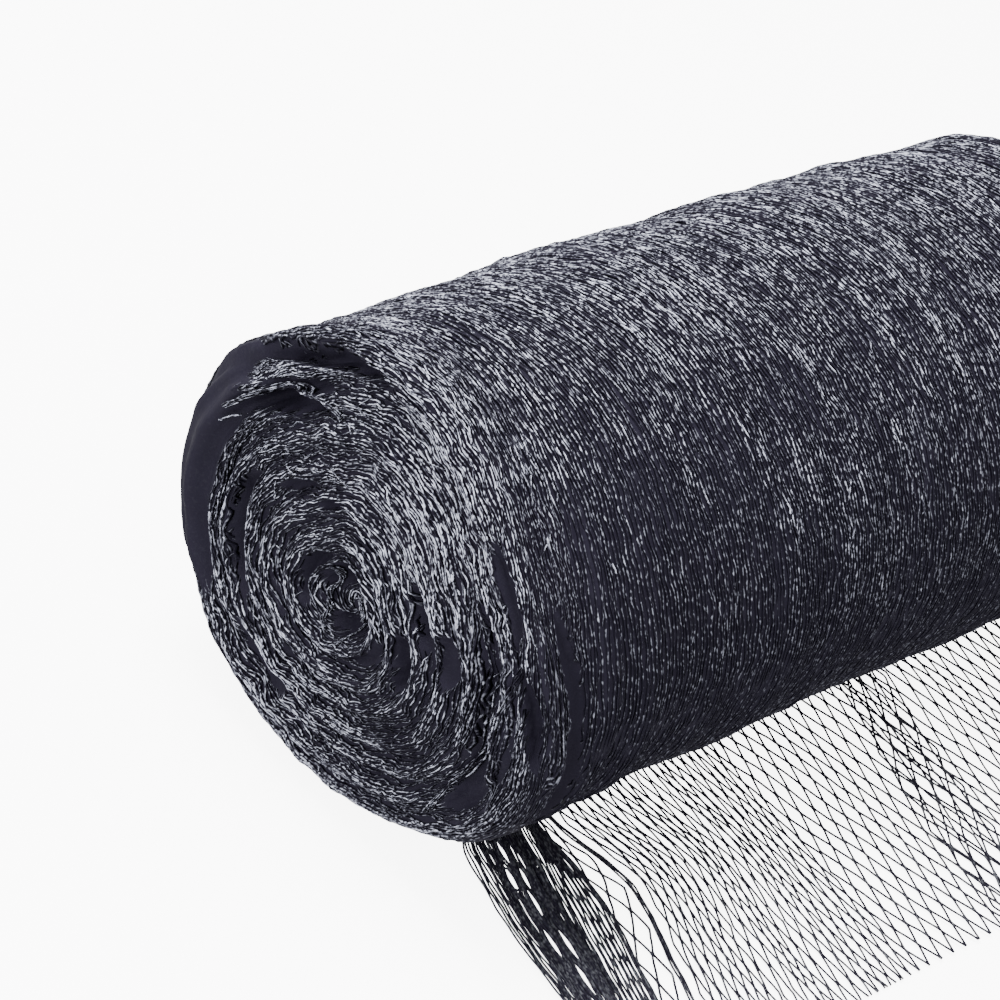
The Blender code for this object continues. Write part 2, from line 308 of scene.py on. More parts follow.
def roll_surface(path, angle, lift=0.0):
    """Points on the wound roll, angle in degrees from +Y towards +Z."""
    radius, along, out, forward = profile_at(path)
    lift = (lift - patches(HOLLOWS, path, angle)[0] + patches(FOLDS, path, angle)[0]
            + TAUT_RISE * patches(TAUT, path, angle)[0])
    share = radius / ROLL_RADIUS
    near = along < 0.0
    on_face = ease((1.0 - share) / 0.08)
    fade = ease((share - 0.05) / 0.12) * ease((0.98 - share) / 0.10)
    turn = np.radians(angle)
    flat_y, flat_z = radius * np.cos(turn), radius * np.sin(turn)
    crumple = (COARSE_CRUMPLE * ripple(5, 6, (flat_y, COARSE_WAVE), (flat_z, COARSE_WAVE))
               + FINE_CRUMPLE * ripple(6, 6, (flat_y, FINE_WAVE), (flat_z, FINE_WAVE)))
    handed = np.where(near, 1.0, -1.0)
    relief = np.where(near, read_table(NEAR_RELIEF, share), read_table(FAR_RELIEF, share))
    relief = relief + crumple + TURN_DEPTH * (turn_ridge(share, angle, handed) ** 0.7 - 0.6) * fade
    from_near = np.maximum(along + ROLL_LENGTH / 2.0, 0.0)
    along = along + lift * forward - handed * on_face * relief
    swell = 0.0
    for order, cosine_part, sine_part in SECTION_WAVES:
        swell = swell + cosine_part * np.cos(order * turn) + sine_part * np.sin(order * turn)
    swollen = (radius + lift * out) * (1.0 + swell * np.exp(-from_near / FADE))
    slack = (SWELL_HEIGHT * np.sin(37.0 * from_near + 2.0 * turn)
             + COARSE_SLACK * ripple(7, 7, (path, 0.045), around=(angle, 60.0))
             + FINE_SLACK * ripple(8, 7, (path, 0.012), around=(angle, 25.0)))
    swollen = swollen + slack * ease((share - 0.85) / 0.12)
    drop = CORE_DROP * (1.0 - np.clip(share, 0.0, 1.0)) ** 2
    height = AXIS_HEIGHT + swollen * np.sin(turn) - drop
    lowest = FLOOR_CLEARANCE + lift * PRESSED_SHARE
    return np.stack([along, swollen * np.cos(turn), np.maximum(height, lowest)], -1)


def leaning(lane, angle):
    """How far a thread of the side runs aside: over the top they lean along the
    roll, and near its rims they run straight."""
    between_rims = ease((lane - 0.14) / 0.09) * ease((0.60 - lane) / 0.09)
    return SIDE_LEAN * np.sin(np.radians(angle - 105.0)) * between_rims


def roll_painted_light(path, angle):
    """How much painted light the threads at a place get, 0 to 1: painted highlight
    on the crests, in the end's bright patches and towards the top, painted shade in
    hollows, on flat stretches, in the end's dark patches and near the floor."""
    radius, along = profile_at(path)[:2]
    share = radius / ROLL_RADIUS
    handed = np.where(along < 0.0, 1.0, -1.0)
    face = FACE_LIGHT + CREST_LIGHT * turn_ridge(share, angle, handed)
    for middle, half_arc, change in FACE_PATCHES:
        face = face + change * bump(turn_from(angle, middle), half_arc)
    up = np.sin(np.radians(angle))
    # Painted light from above: more glints towards the top, and painted shade near the floor.
    towards_top = (np.maximum(up + 0.30, 0.0) / 1.30) ** 2.6
    above_floor = ease((up + 0.10) / 0.16)
    side = (SIDE_LIGHT + TOP_LIGHT * towards_top) * above_floor
    side = (side + patches(UNEVEN, path, angle)[0]
            + STREAK_LIGHT * ripple(15, 6, (path - leaning(path, angle), 0.009), around=(angle, 50.0)))
    on_face = ease((1.0 - share) / 0.06)
    even = face * on_face + side * (1.0 - on_face)
    uneven = ((0.09 + 0.06 * on_face) * ripple(13, 6, (path, 0.040), around=(angle, 30.0))
              + 0.08 * ripple(14, 6, (path, 0.011), around=(angle, 10.0)))
    # Painted shade: no glints in the hollows and where the net is stretched flat.
    bare = np.maximum(patches(HOLLOWS, path, angle)[1], patches(TAUT, path, angle)[1])
    return np.clip((even + uneven) * (1.0 - 1.1 * bare), 0.0, 1.0)


def thread_rise(path, angle, rise, painted_light):
    """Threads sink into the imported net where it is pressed, hollow or stretched flat."""
    in_taut = patches(TAUT, path, angle)[0]
    in_hollow = patches(HOLLOWS, path, angle)[1]
    pressed = 1.0 - np.clip(painted_light, 0.0, 1.0)
    return rise - TAUT_SINK * in_taut - HOLLOW_SINK * in_hollow - PRESSED_IN * pressed


def read_points(mesh):
    points = np.zeros(len(mesh.vertices) * 3, np.float32)
    mesh.vertices.foreach_get("co", points)
    return points.reshape(-1, 3).astype(float)


def write_points(mesh, points):
    mesh.vertices.foreach_set("co", np.ascontiguousarray(points, np.float32).ravel())
    mesh.update()


PACKED_RINGS = 270
PACKED_STEPS = 216
UNDER_THREADS = 0.0014
SEAM_GAP = 0.00002

bpy.ops.object.select_all(action="DESELECT")
bpy.ops.mesh.primitive_grid_add(x_subdivisions=PACKED_RINGS, y_subdivisions=PACKED_STEPS, size=1.0)
packed_net = bpy.context.object
packed_net.name = "packed_net"
grid = read_points(packed_net.data)
write_points(packed_net.data, roll_surface((grid[:, 0] + 0.5) * PROFILE_LENGTH, (grid[:, 1] + 0.5) * 360.0,
                                           -UNDER_THREADS))
bpy.ops.object.mode_set(mode="EDIT")
bpy.ops.mesh.select_all(action="SELECT")
bpy.ops.mesh.remove_doubles(threshold=SEAM_GAP)
bpy.ops.mesh.normals_make_consistent(inside=False)
bpy.ops.object.mode_set(mode="OBJECT")
bpy.ops.object.shade_smooth()


class Shade:
    """A socket of a material's nodes, so that shader maths reads as maths."""

    def __init__(self, tree, socket):
        self.tree = tree
        self.socket = socket

    def node(self, kind, settings=None, values=None, output=0):
        made = self.tree.nodes.new(kind)
        for key, value in (settings or {}).items():
            if key == "stops":
                ramp = made.color_ramp
                while len(ramp.elements) < len(value):
                    ramp.elements.new(0.5)
                for element, (place, colour) in zip(ramp.elements, value):
                    element.position = place
                    element.color = colour
            else:
                setattr(made, key, value)
        for key, value in (values or {}).items():
            if isinstance(value, Shade):
                self.tree.links.new(value.socket, made.inputs[key])
            else:
                made.inputs[key].default_value = value
        return Shade(self.tree, made.outputs[output])

    def maths(self, operation, *values):
        return self.node("ShaderNodeMath", {"operation": operation}, dict(enumerate(values)))

    def __add__(self, other):
        return self.maths("ADD", self, other)

    def __sub__(self, other):
        return self.maths("SUBTRACT", self, other)

    def __rsub__(self, other):
        return self.maths("SUBTRACT", other, self)

    def __mul__(self, other):
        return self.maths("MULTIPLY", self, other)

    __radd__ = __add__
    __rmul__ = __mul__


def new_finish(name):
    """A material, its shader, and a socket to start shader maths from."""
    finish = bpy.data.materials.new(name)
    finish.use_nodes = True
    tree = finish.node_tree
    return finish, tree.nodes["Principled BSDF"], Shade(tree, None)


def plug(shade, shader, socket):
    shade.tree.links.new(shade.socket, shader.inputs[socket])


DEEP_BLACK = (0.0118, 0.0104, 0.0178, 1.0)
DUSTY_BLACK = (0.0150, 0.0140, 0.0215, 1.0)
PACKED_ROUGHNESS = 0.65
PACKED_SPECULAR = 0.03

packed_finish, packed_shader, start = new_finish("packed_threads")
place = start.node("ShaderNodeTexCoord", output=3)
speckle = start.node("ShaderNodeTexNoise", {},
                     {"Vector": place, "Scale": 520.0, "Detail": 2.0, "Roughness": 0.6})
patch = start.node("ShaderNodeTexNoise", {}, {"Vector": place, "Scale": 26.0, "Detail": 2.0})
mask = start.node("ShaderNodeValToRGB", {"stops": ((0.52, (0, 0, 0, 1)), (0.68, (1, 1, 1, 1)))},
                  {"Fac": speckle * 0.8 + patch * 0.2})
colour = start.node("ShaderNodeMix", {"data_type": "RGBA"},
                    {0: mask, 6: DEEP_BLACK, 7: DUSTY_BLACK}, output=2)
plug(colour, packed_shader, "Base Color")
relief = start.node("ShaderNodeBump", {}, {"Strength": 0.4, "Distance": 0.0006, "Height": speckle})
plug(relief, packed_shader, "Normal")
packed_shader.inputs["Roughness"].default_value = PACKED_ROUGHNESS
packed_shader.inputs["Specular IOR Level"].default_value = PACKED_SPECULAR
packed_net.data.materials.append(packed_finish)
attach(packed_net, "root")
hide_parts("net_roll")


# The outer turns of thread: fine black threads that run round the roll, knitted
# to their neighbours every few centimetres and drawn up slack and crinkled.
THREAD_HALF_WIDTH = 0.00049
THREAD_HEIGHT = 0.00085
THREAD_CROWN = 0.6
DIAMOND_LENGTH = 0.0292
LANE_GAP = 10.0
THREAD_BLACK = (0.0105, 0.0094, 0.0160, 1.0)
# THREAD_GLINT is a painted highlight: the light grey of the dashes painted into the threads' base colour
# where they would glint.
THREAD_GLINT = (0.56, 0.58, 0.70, 1.0)
THREAD_ROUGHNESS = 0.50
THREAD_SPECULAR = 0.05


def strand_bundle(name, sides, steps, count):
    """Closed strands side by side: for each vertex the place along its strand,
    across it and up from it, and the strand's number."""
    bpy.ops.object.select_all(action="DESELECT")
    bpy.ops.mesh.primitive_cylinder_add(vertices=sides, radius=1.0, depth=1.0, end_fill_type="NGON")
    piece = bpy.context.object
    piece.name = name
    bpy.ops.object.mode_set(mode="EDIT")
    bpy.ops.mesh.select_mode(type="EDGE")
    bpy.ops.mesh.select_all(action="DESELECT")
    bpy.ops.object.mode_set(mode="OBJECT")
    corners = piece.data.vertices
    for edge in piece.data.edges:
        edge.select = abs(corners[edge.vertices[0]].co.z - corners[edge.vertices[1]].co.z) > 0.5
    bpy.ops.object.mode_set(mode="EDIT")
    bpy.ops.mesh.subdivide_edgering(number_cuts=steps - 1, interpolation="LINEAR")
    bpy.ops.mesh.select_mode(type="VERT")
    bpy.ops.object.mode_set(mode="OBJECT")
    rows = piece.modifiers.new("side_by_side", "ARRAY")
    rows.count = count
    rows.use_relative_offset = False
    rows.use_constant_offset = True
    rows.constant_offset_displace = (LANE_GAP, 0.0, 0.0)
    bpy.ops.object.modifier_apply(modifier=rows.name)
    points = read_points(piece.data)
    number = np.rint(points[:, 0] / LANE_GAP)
    return piece, points[:, 2] + 0.5, points[:, 0] - LANE_GAP * number, points[:, 1], number.astype(int)


def knitted(phase, sharpness):
    """The swing of a thread to and fro between its knots, -1 to 1, with flat ends."""
    return np.clip(np.arcsin(np.sin(phase)) * 2.0 / math.pi * sharpness, -1.0, 1.0)


def place_strands(piece, path, angle, sideways, rise, up):
    """Move a piece's strands onto the roll, each with its width and its height."""
    write_points(piece.data, roll_surface(path + sideways, angle, rise + up * THREAD_HEIGHT * THREAD_CROWN))


def mark_strands(piece, stretch, own, painted_light, up):
    """What the threads' finish reads: the place along each thread, and its painted light."""
    way = piece.data.attributes.new("thread_way", "FLOAT_VECTOR", "POINT")
    way.data.foreach_set("vector", np.stack([stretch, own, up * 0.0003], -1).astype(np.float32).ravel())
    light = piece.data.attributes.new("thread_light", "FLOAT_VECTOR", "POINT")
    light.data.foreach_set("vector", np.stack([painted_light, up, own], -1).astype(np.float32).ravel())


def finish_strands(piece, finish):
    bpy.ops.object.shade_smooth()
    piece.data.materials.append(finish)
    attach(piece, "root")


def new_thread_finish(name, glint, spread):
    """Black plastic thread with painted highlights: short light dashes in its base
    colour, brighter where the painted light is high and along the top of each
    thread; its crinkles are a bump. Spread is how much more of the dashes there is
    where the painted light is high."""
    finish, shader, start = new_finish(name)
    way = start.node("ShaderNodeAttribute", {"attribute_name": "thread_way"}, output=1)
    light = start.node("ShaderNodeAttribute", {"attribute_name": "thread_light"}, output=1)
    painted_light = start.node("ShaderNodeSeparateXYZ", {}, {0: light}, output=0)
    up = start.node("ShaderNodeSeparateXYZ", {}, {0: light}, output=1)
    twist = start.node("ShaderNodeTexNoise", {},
                       {"Vector": way, "Scale": 400.0, "Detail": 1.0, "Roughness": 0.5})
    longer = start.node("ShaderNodeTexNoise", {}, {"Vector": way, "Scale": 120.0, "Detail": 1.0})
    # The dashes lie more on the top of each thread, as a painted highlight.
    level = twist * 0.75 + longer * 0.25 + painted_light * spread + up * 0.11
    dash = start.node("ShaderNodeValToRGB",
                      {"stops": ((0.62, (0, 0, 0, 1)), (0.78, (1, 1, 1, 1)))},
                      {"Fac": level})
    # Painted light: the dashes are brighter where the painted light is high.
    bright = start.node("ShaderNodeValToRGB",
                        {"stops": ((0.15, (0.18, 0.18, 0.18, 1)), (0.60, (0.31, 0.31, 0.31, 1)),
                                   (0.98, (1, 1, 1, 1)))},
                        {"Fac": painted_light * (longer * 2.2 - 0.1)})
    dash = dash * bright
    colour = start.node("ShaderNodeMix", {"data_type": "RGBA"},
                        {0: dash, 6: THREAD_BLACK, 7: glint}, output=2)
    plug(colour, shader, "Base Color")
    crinkles = start.node("ShaderNodeBump", {}, {"Strength": 0.6, "Distance": 0.0004, "Height": twist})
    plug(crinkles, shader, "Normal")
    shader.inputs["Roughness"].default_value = THREAD_ROUGHNESS
    shader.inputs["Specular IOR Level"].default_value = THREAD_SPECULAR
    return finish


GLINT_SPREAD = 0.12
thread_finish = new_thread_finish("twisted_thread", THREAD_GLINT, GLINT_SPREAD)

# How the side's threads stray from their lanes: amount, random seed, wavelength
# across the threads and round the roll; then each thread's own crinkle.
SIDE_STRAYS = ((0.0016, 3, 0.05, 40.0), (0.0006, 4, 0.014, 10.0))
CRINKLE, CRINKLE_LENGTH = 0.00050, 0.012
CRINKLE_RISE, CRINKLE_RISE_LENGTH = 0.0005, 0.013
WIDTH_CHANGE, WIDTH_CHANGE_LENGTH = 0.22, 0.007
# How far a thread swings towards its neighbours, as a share of the pitch.
LEAST_SWING, MEAN_SWING, MOST_SWING = 0.08, 0.30, 0.9
KNOT_FLATNESS = 1.25
ONCE_ROUND = 361.0


def lay_side_threads(name, seed, first, pitch, count, lift, steps, lit):
    piece, along, across, up, number = strand_bundle(name, 3, steps, count)
    draw = np.random.default_rng(seed)
    start_turn = draw.uniform(0.0, 360.0, count)[number]
    own = draw.uniform(0.0, 9.0, count)[number]
    angle = (start_turn + ONCE_ROUND * along) % 360.0
    arc = np.radians(start_turn + ONCE_ROUND * along) * ROLL_RADIUS
    lane = first + number * pitch
    parity = np.where(number % 2 == 0, 0.0, math.pi)
    phase = (arc / DIAMOND_LENGTH * 2.0 * math.pi + parity
             + 0.9 * ripple(seed + 2, 5, (lane, 0.05), around=(angle, 60.0)))
    drawn = np.clip(MEAN_SWING + 0.30 * ripple(seed + 1, 5, (lane, 0.06), around=(angle, 70.0)),
                    LEAST_SWING, MOST_SWING)
    wander = 0.0
    for amount, stray_seed, wave_across, wave_round in SIDE_STRAYS:
        wander = wander + amount * ripple(stray_seed, 6, (lane, wave_across), around=(angle, wave_round))
    wander = wander + CRINKLE * ripple(seed + 5, 4, (own, 0.4), (arc, CRINKLE_LENGTH))
    path = lane + leaning(lane, angle) + pitch / 2.0 * knitted(phase, KNOT_FLATNESS) * drawn + wander
    rise = lift + CRINKLE_RISE * ripple(seed + 6, 5, (own, 0.4), (arc, CRINKLE_RISE_LENGTH))
    width = THREAD_HALF_WIDTH * (
        1.0 + WIDTH_CHANGE * ripple(seed + 7, 3, (own, 0.4), (arc, WIDTH_CHANGE_LENGTH)))
    painted_light = roll_painted_light(path, angle) * lit
    place_strands(piece, path, angle, across * width, thread_rise(path, angle, rise, painted_light), up)
    mark_strands(piece, arc + own, own, painted_light, up)
    return piece


# Each layer's name, random seed, first lane, pitch, count, lift, steps round the
# roll, and share of the painted light that it gets; a share under 1 is painted shade.
for name, seed, first, pitch, count, lift, steps, lit in (
        ("side_threads_near", 20, 0.1162, 0.0021, 121, 0.0000, 174, 1.0),
        ("side_threads_far", 21, 0.3703, 0.0021, 123, 0.0000, 174, 1.0),
        ("rim_threads", 25, 0.1214, 0.0021, 17, 0.0000, 174, 0.8),
        ("side_threads_inner", 40, 0.1130, 0.0042, 122, -0.0006, 120, 0.6)):
    finish_strands(lay_side_threads(name, seed, first, pitch, count, lift, steps, lit), thread_finish)


# The two ends: the edges of the turns, each a gathered selvedge of several
# threads that runs in a spiral from the rim to the middle, crumpled and slack.
END_LANES = 10
OUTER_TURN = 0.118
INNERMOST = 0.0015
FIRST_TURN = 0.0006
SETTLING = 0.020
END_KNOT_FLATNESS = 1.2
END_SWING = 0.5
END_THREAD_WIDTH = 0.80
# How the ends' threads stray, all layers alike: amount, random seed, wavelength;
# then how each strays by itself: amount, next seed, terms and wavelength.
END_STRAYS = ((0.0017, 51, 0.045), (0.0008, 52, 0.014))
OWN_STRAYS = ((0.0005, 2, 6, 0.022), (0.0004, 3, 5, 0.0095))
CRUMPLE_RISE, CRUMPLE_RISE_LENGTH = 0.0006, 0.012


def lay_end_threads(name, seed, handed, steps, lift, amount, turned, lit):
    piece, along, across, up, number = strand_bundle(name, 3, steps, END_LANES)
    draw = np.random.default_rng(seed)
    own = draw.uniform(0.0, 9.0, END_LANES)[number]
    last = OUTER_TURN / TURN_PITCH * 2.0 * math.pi
    wound = last * np.sqrt(FIRST_TURN + (1.0 - FIRST_TURN) * along)
    arc = TURN_PITCH * wound * wound / (4.0 * math.pi)
    from_middle = TURN_PITCH * wound / (2.0 * math.pi)
    angle = (handed * np.degrees(wound) + (number + turned) * 360.0 / END_LANES) % 360.0
    parity = np.where(number % 2 == 0, 0.0, math.pi)
    settle = ease(from_middle / SETTLING)
    knots = knitted(arc / DIAMOND_LENGTH * 2.0 * math.pi + parity, END_KNOT_FLATNESS)
    swing = TURN_PITCH / END_LANES / 2.0 * knots
    flat_y, flat_z = from_middle * np.cos(np.radians(angle)), from_middle * np.sin(np.radians(angle))
    wander = 0.0
    for stray, stray_seed, wave in END_STRAYS:
        wander = wander + stray * ripple(stray_seed, 6, (flat_y, wave), (flat_z, wave))
    for stray, next_seed, terms, wave in OWN_STRAYS:
        wander = wander + stray * amount * ripple(seed + next_seed, terms, (own, 0.5), (arc, wave))
    from_middle = np.maximum(from_middle + settle * (END_SWING * swing + wander), INNERMOST)
    path = from_middle if handed > 0.0 else PROFILE_LENGTH - from_middle
    rise = lift + CRUMPLE_RISE * amount * ripple(seed + 4, 5, (own, 0.5), (arc, CRUMPLE_RISE_LENGTH))
    width = END_THREAD_WIDTH * THREAD_HALF_WIDTH * (
        1.0 + 0.25 * ripple(seed + 5, 3, (own, 0.5), (arc, WIDTH_CHANGE_LENGTH)))
    painted_light = roll_painted_light(path, angle) * lit
    place_strands(piece, path, angle, across * width, thread_rise(path, angle, rise, painted_light), up)
    mark_strands(piece, arc + own, own, painted_light, up)
    return piece


# Each layer's name, random seed, end (1 near, -1 far), steps, lift, how crumpled
# it is, how far it is turned on, in lanes, and share of the painted light that it
# gets; a share under 1 is painted shade on the lower layers.
for name, seed, handed, steps, lift, amount, turned, lit in (
        ("near_end_threads", 60, 1.0, 1000, 0.0002, 1.0, 0.0, 1.0),
        ("near_end_crinkles", 70, 1.0, 1000, -0.0006, 1.5, 0.5, 0.55),
        ("near_end_inner", 80, 1.0, 700, -0.0012, 0.8, 0.25, 0.35),
        ("far_end_threads", 90, -1.0, 1000, 0.0002, 1.0, 0.0, 1.0),
        ("far_end_crinkles", 100, -1.0, 600, -0.0006, 1.5, 0.5, 0.55)):
    finish_strands(lay_end_threads(name, seed, handed, steps, lift, amount, turned, lit), thread_finish)


# Slack bits: short lengths of thread that have worked up out of the outer turns
# and the ends, and stand over them in small curls.
CURLS = 700
CURL_STEPS = 12
CURLS_ON_END = 0.42
CURL_LENGTHS = (0.0035, 0.0095)
CURL_SLANT = 0.20
CURL_BEND = 0.0014
CURL_WAVE, CURL_WAVE_LENGTH = 0.0006, 0.007
CURL_LOW, CURL_ARCH = -0.0008, 0.0010
# The curls get more painted light than the threads beneath them.
CURL_LIT = 1.15
SLIM = 0.75
PATH_ENDS = (0.002, 0.741)

curls, along, across, up, number = strand_bundle("slack_curls", 3, CURL_STEPS, CURLS)
draw = np.random.default_rng(120)
middle_path = np.where(draw.uniform(0.0, 1.0, CURLS) < CURLS_ON_END,
                       np.sqrt(draw.uniform(0.0003, 0.0180, CURLS)),
                       draw.uniform(0.13, 0.72, CURLS))[number]
middle_angle = draw.uniform(0.0, 360.0, CURLS)[number]
half_length = draw.uniform(*CURL_LENGTHS, CURLS)[number]
slant = draw.normal(0.0, CURL_SLANT, CURLS)[number]
bend = draw.normal(0.0, CURL_BEND, CURLS)[number]
own = draw.uniform(0.0, 9.0, CURLS)[number]
stretch = (along - 0.5) * 2.0 * half_length
arch = 1.0 - 4.0 * (along - 0.5) ** 2
wave = CURL_WAVE * ripple(121, 4, (own, 0.4), (stretch, CURL_WAVE_LENGTH))
path = np.clip(middle_path + slant * stretch + bend * arch + wave, *PATH_ENDS)
angle = (middle_angle + np.degrees(stretch / np.maximum(profile_at(middle_path)[0], 0.006))) % 360.0
rise = CURL_LOW + CURL_ARCH * arch
painted_light = roll_painted_light(path, angle) * CURL_LIT
rise = thread_rise(path, angle, rise, painted_light)
place_strands(curls, path, angle, across * THREAD_HALF_WIDTH * SLIM, rise, up)
mark_strands(curls, stretch + own, own, painted_light, up)
finish_strands(curls, thread_finish)


# Gathered folds: threads drawn together into loose ropes along the edges of the
# near end's gaping turns, and one lone strand across the hollow at the rim.
# Each is a row of places on the roll (path, angle), its radius, rise and painted light.
ROPES = (
    (((0.0970, 143.0), (0.0955, 151.0), (0.0962, 165.0), (0.0962, 178.0), (0.0955, 190.0)),
     0.0012, 0.0004, 0.50),
    (((0.1240, 156.0), (0.1200, 163.0), (0.1125, 173.5), (0.1120, 182.0), (0.1135, 192.0), (0.1215, 200.0)),
     0.0012, 0.0003, 0.55),
    (((0.1350, 148.0), (0.1370, 156.0), (0.1385, 171.0), (0.1425, 180.0), (0.1390, 188.0)),
     0.0011, 0.0000, 0.50),
    (((0.1150, 224.0), (0.1110, 219.0), (0.1015, 209.0), (0.1010, 198.0), (0.1020, 188.0)),
     0.0012, 0.0003, 0.66),
    (((0.1135, 20.0), (0.1128, 30.0), (0.1125, 46.0), (0.1036, 61.0), (0.0926, 72.0)),
     0.0011, 0.0006, 0.80),
    (((0.0990, 30.0), (0.0974, 22.0), (0.0946, 10.0), (0.0940, 359.0), (0.0942, 350.0), (0.0955, 341.0)),
     0.0011, 0.0006, 0.62),
    (((0.1100, 15.0), (0.1085, 18.0), (0.1062, 21.5)), 0.0003, 0.0036, 1.00),
    (((0.0170, 95.0), (0.0070, 130.0), (0.0110, 225.0), (0.0230, 256.0)), 0.0008, 0.0010, 0.80),
    (((0.0210, 55.0), (0.0120, 20.0), (0.0130, 315.0), (0.0210, 290.0)), 0.0008, 0.0010, 0.65),
    (((0.1080, 38.0), (0.1050, 46.0), (0.1000, 55.0)), 0.0003, 0.0030, 0.60),
    (((0.1330, 92.0), (0.1390, 75.0), (0.1420, 58.0), (0.1440, 40.0), (0.1430, 22.0)),
     0.0008, -0.0010, 0.60),
)
ROPE_STRANDS = 5
ROPE_STEPS = 70
ROPE_FROM_MIDDLE = 0.11
ROPE_TWIST = 0.016
ROPE_LOOSENESS = 0.5

ropes, along, across, up, number = strand_bundle("gathered_ropes", 3, ROPE_STEPS, ROPE_STRANDS * len(ROPES))
draw = np.random.default_rng(140)
own = draw.uniform(0.0, 9.0, ROPE_STRANDS * len(ROPES))[number]
path, angle, rise, length, painted_light = (np.zeros_like(along) for _ in range(5))
for index, (places, rope_radius, stand, rope_painted_light) in enumerate(ROPES):
    mine = number // ROPE_STRANDS == index
    knots = np.linspace(0.0, 1.0, len(places))
    angles = np.degrees(np.unwrap(np.radians([place_angle for _, place_angle in places])))
    way = along[mine]
    centre_path = np.interp(way, knots, [place_path for place_path, _ in places])
    centre_angle = np.interp(way, knots, angles)
    length[mine] = np.radians(abs(angles[-1] - angles[0])) * ROPE_FROM_MIDDLE
    twist = way * length[mine] / ROPE_TWIST + 2.0 * math.pi * (number[mine] % ROPE_STRANDS) / ROPE_STRANDS
    loose = 1.0 + ROPE_LOOSENESS * ripple(141 + index, 4, (own[mine], 0.5), (way, 0.25))
    path[mine] = centre_path + rope_radius * np.cos(twist) * loose
    angle[mine] = centre_angle % 360.0
    rise[mine] = stand + rope_radius * np.sin(twist) * loose
    painted_light[mine] = rope_painted_light
place_strands(ropes, path, angle, across * THREAD_HALF_WIDTH * SLIM, rise, up)
mark_strands(ropes, along * length + own, own, painted_light, up)
finish_strands(ropes, thread_finish)


# The loose end: one layer of the same net drawn out over the floor. Its threads
# run out side by side and are joined to each other in turn, so that they stand
# open in diamonds or are gathered into a bunch. The end is cut off plain.
STATIONS = (-0.042, -0.078, -0.137, -0.196, -0.254)
LEFT_EDGE = (-0.1765, -0.1990, -0.2147, -0.2235, -0.2303)
BUNCH_EDGE = (-0.1433, -0.1550, -0.1746, -0.1941, -0.2078)
STRAND_START = (-0.1340, -0.1430, -0.1390, -0.1600, -0.1790)
STRAND_END = (-0.1280, -0.1370, -0.1320, -0.1530, -0.1720)
FAN_EDGE = (-0.0151, -0.0190, -0.0260, -0.0320, -0.0370)
FOLD_START = (0.0900, 0.0820, 0.0580, 0.0400, 0.0300)
FOLD_END = (0.1200, 0.1150, 0.0980, 0.0800, 0.0660)
RIGHT_EDGE = (0.2304, 0.2290, 0.2265, 0.2240, 0.2215)
# Groups of threads from left to right: the two edges they lie between, the
# share across at which they start and end, their number, how wide they swing,
# and how high they are heaped.
THREAD_GROUPS = (
    (LEFT_EDGE, BUNCH_EDGE, 0.00, 0.16, 4, 0.5, 0.0008),
    (LEFT_EDGE, BUNCH_EDGE, 0.16, 0.34, 6, 0.4, 0.0016),
    (LEFT_EDGE, BUNCH_EDGE, 0.34, 0.86, 32, 2.1, 0.0050),
    (LEFT_EDGE, BUNCH_EDGE, 0.86, 1.00, 4, 0.5, 0.0016),
    (BUNCH_EDGE, STRAND_START, 0.03, 0.46, 11, 1.0, 0.0),
    (BUNCH_EDGE, STRAND_START, 0.46, 0.54, 3, 0.8, 0.0010),
    (BUNCH_EDGE, STRAND_START, 0.54, 1.00, 3, 1.0, 0.0),
    (STRAND_START, STRAND_END, 0.25, 0.70, 3, 0.5, 0.0010),
    (STRAND_END, FAN_EDGE, 0.02, 1.00, 42, 1.0, 0.0004),
    (FAN_EDGE, RIGHT_EDGE, 0.00, 1.00, 56, 1.0, 0.0),
    (FOLD_START, FOLD_END, 0.00, 1.00, 7, 1.0, 0.0010),
)
# Slits that stand open in the bunch: share across, distance out, half length
# and half width.
BUNCH_SLITS = (
    (0.46, -0.0890, 0.0120, 0.0001), (0.40, -0.1050, 0.0150, 0.0010), (0.56, -0.1080, 0.0130, 0.0005),
    (0.51, -0.1260, 0.0140, 0.0007), (0.43, -0.1500, 0.0160, 0.0006), (0.60, -0.1540, 0.0150, 0.0003),
    (0.52, -0.1760, 0.0160, 0.0007), (0.43, -0.1980, 0.0160, 0.0004), (0.62, -0.2040, 0.0150, 0.0005),
    (0.50, -0.2260, 0.0160, 0.0005),
)
NET_STEPS = 102
NET_THREAD_RADIUS = 0.00084
NET_THREAD_CROWN = 0.9
NET_KNOT_FLATNESS = 1.09
# A group of more than FEW threads is broad. Its threads are unevenly gathered,
# and those of a group under MANY threads are unevenly drawn as well. Groups that
# swing less than GATHERED_SWING lie close, and one over BUNCH_SWING is the bunch.
FEW, MANY = 12, 50
GATHERED_SWING, BUNCH_SWING = 0.8, 2.0
UNEVEN_PHASE, EVEN_PHASE, OWN_PHASE = 1.3, 0.5, 1.5
LANES_GATHERED = 0.5
BUNCH_STRAY = 0.0007
SLIT_REACH = 0.0040
# Threads are thinner where they lie close: least share of the radius, the
# spacing from which they thicken, how fast, and the most.
THIN_THREAD, THIN_SPACING, THICKENING, THICK_THREAD = 0.84, 0.0032, 55.0, 0.95
ROLL_FOOT = 0.040
NET_WAVE = 0.0011
# NET_PAINTED_LIGHT is how much painted light the loose end's threads get, the same everywhere.
NET_PAINTED_LIGHT = 0.45


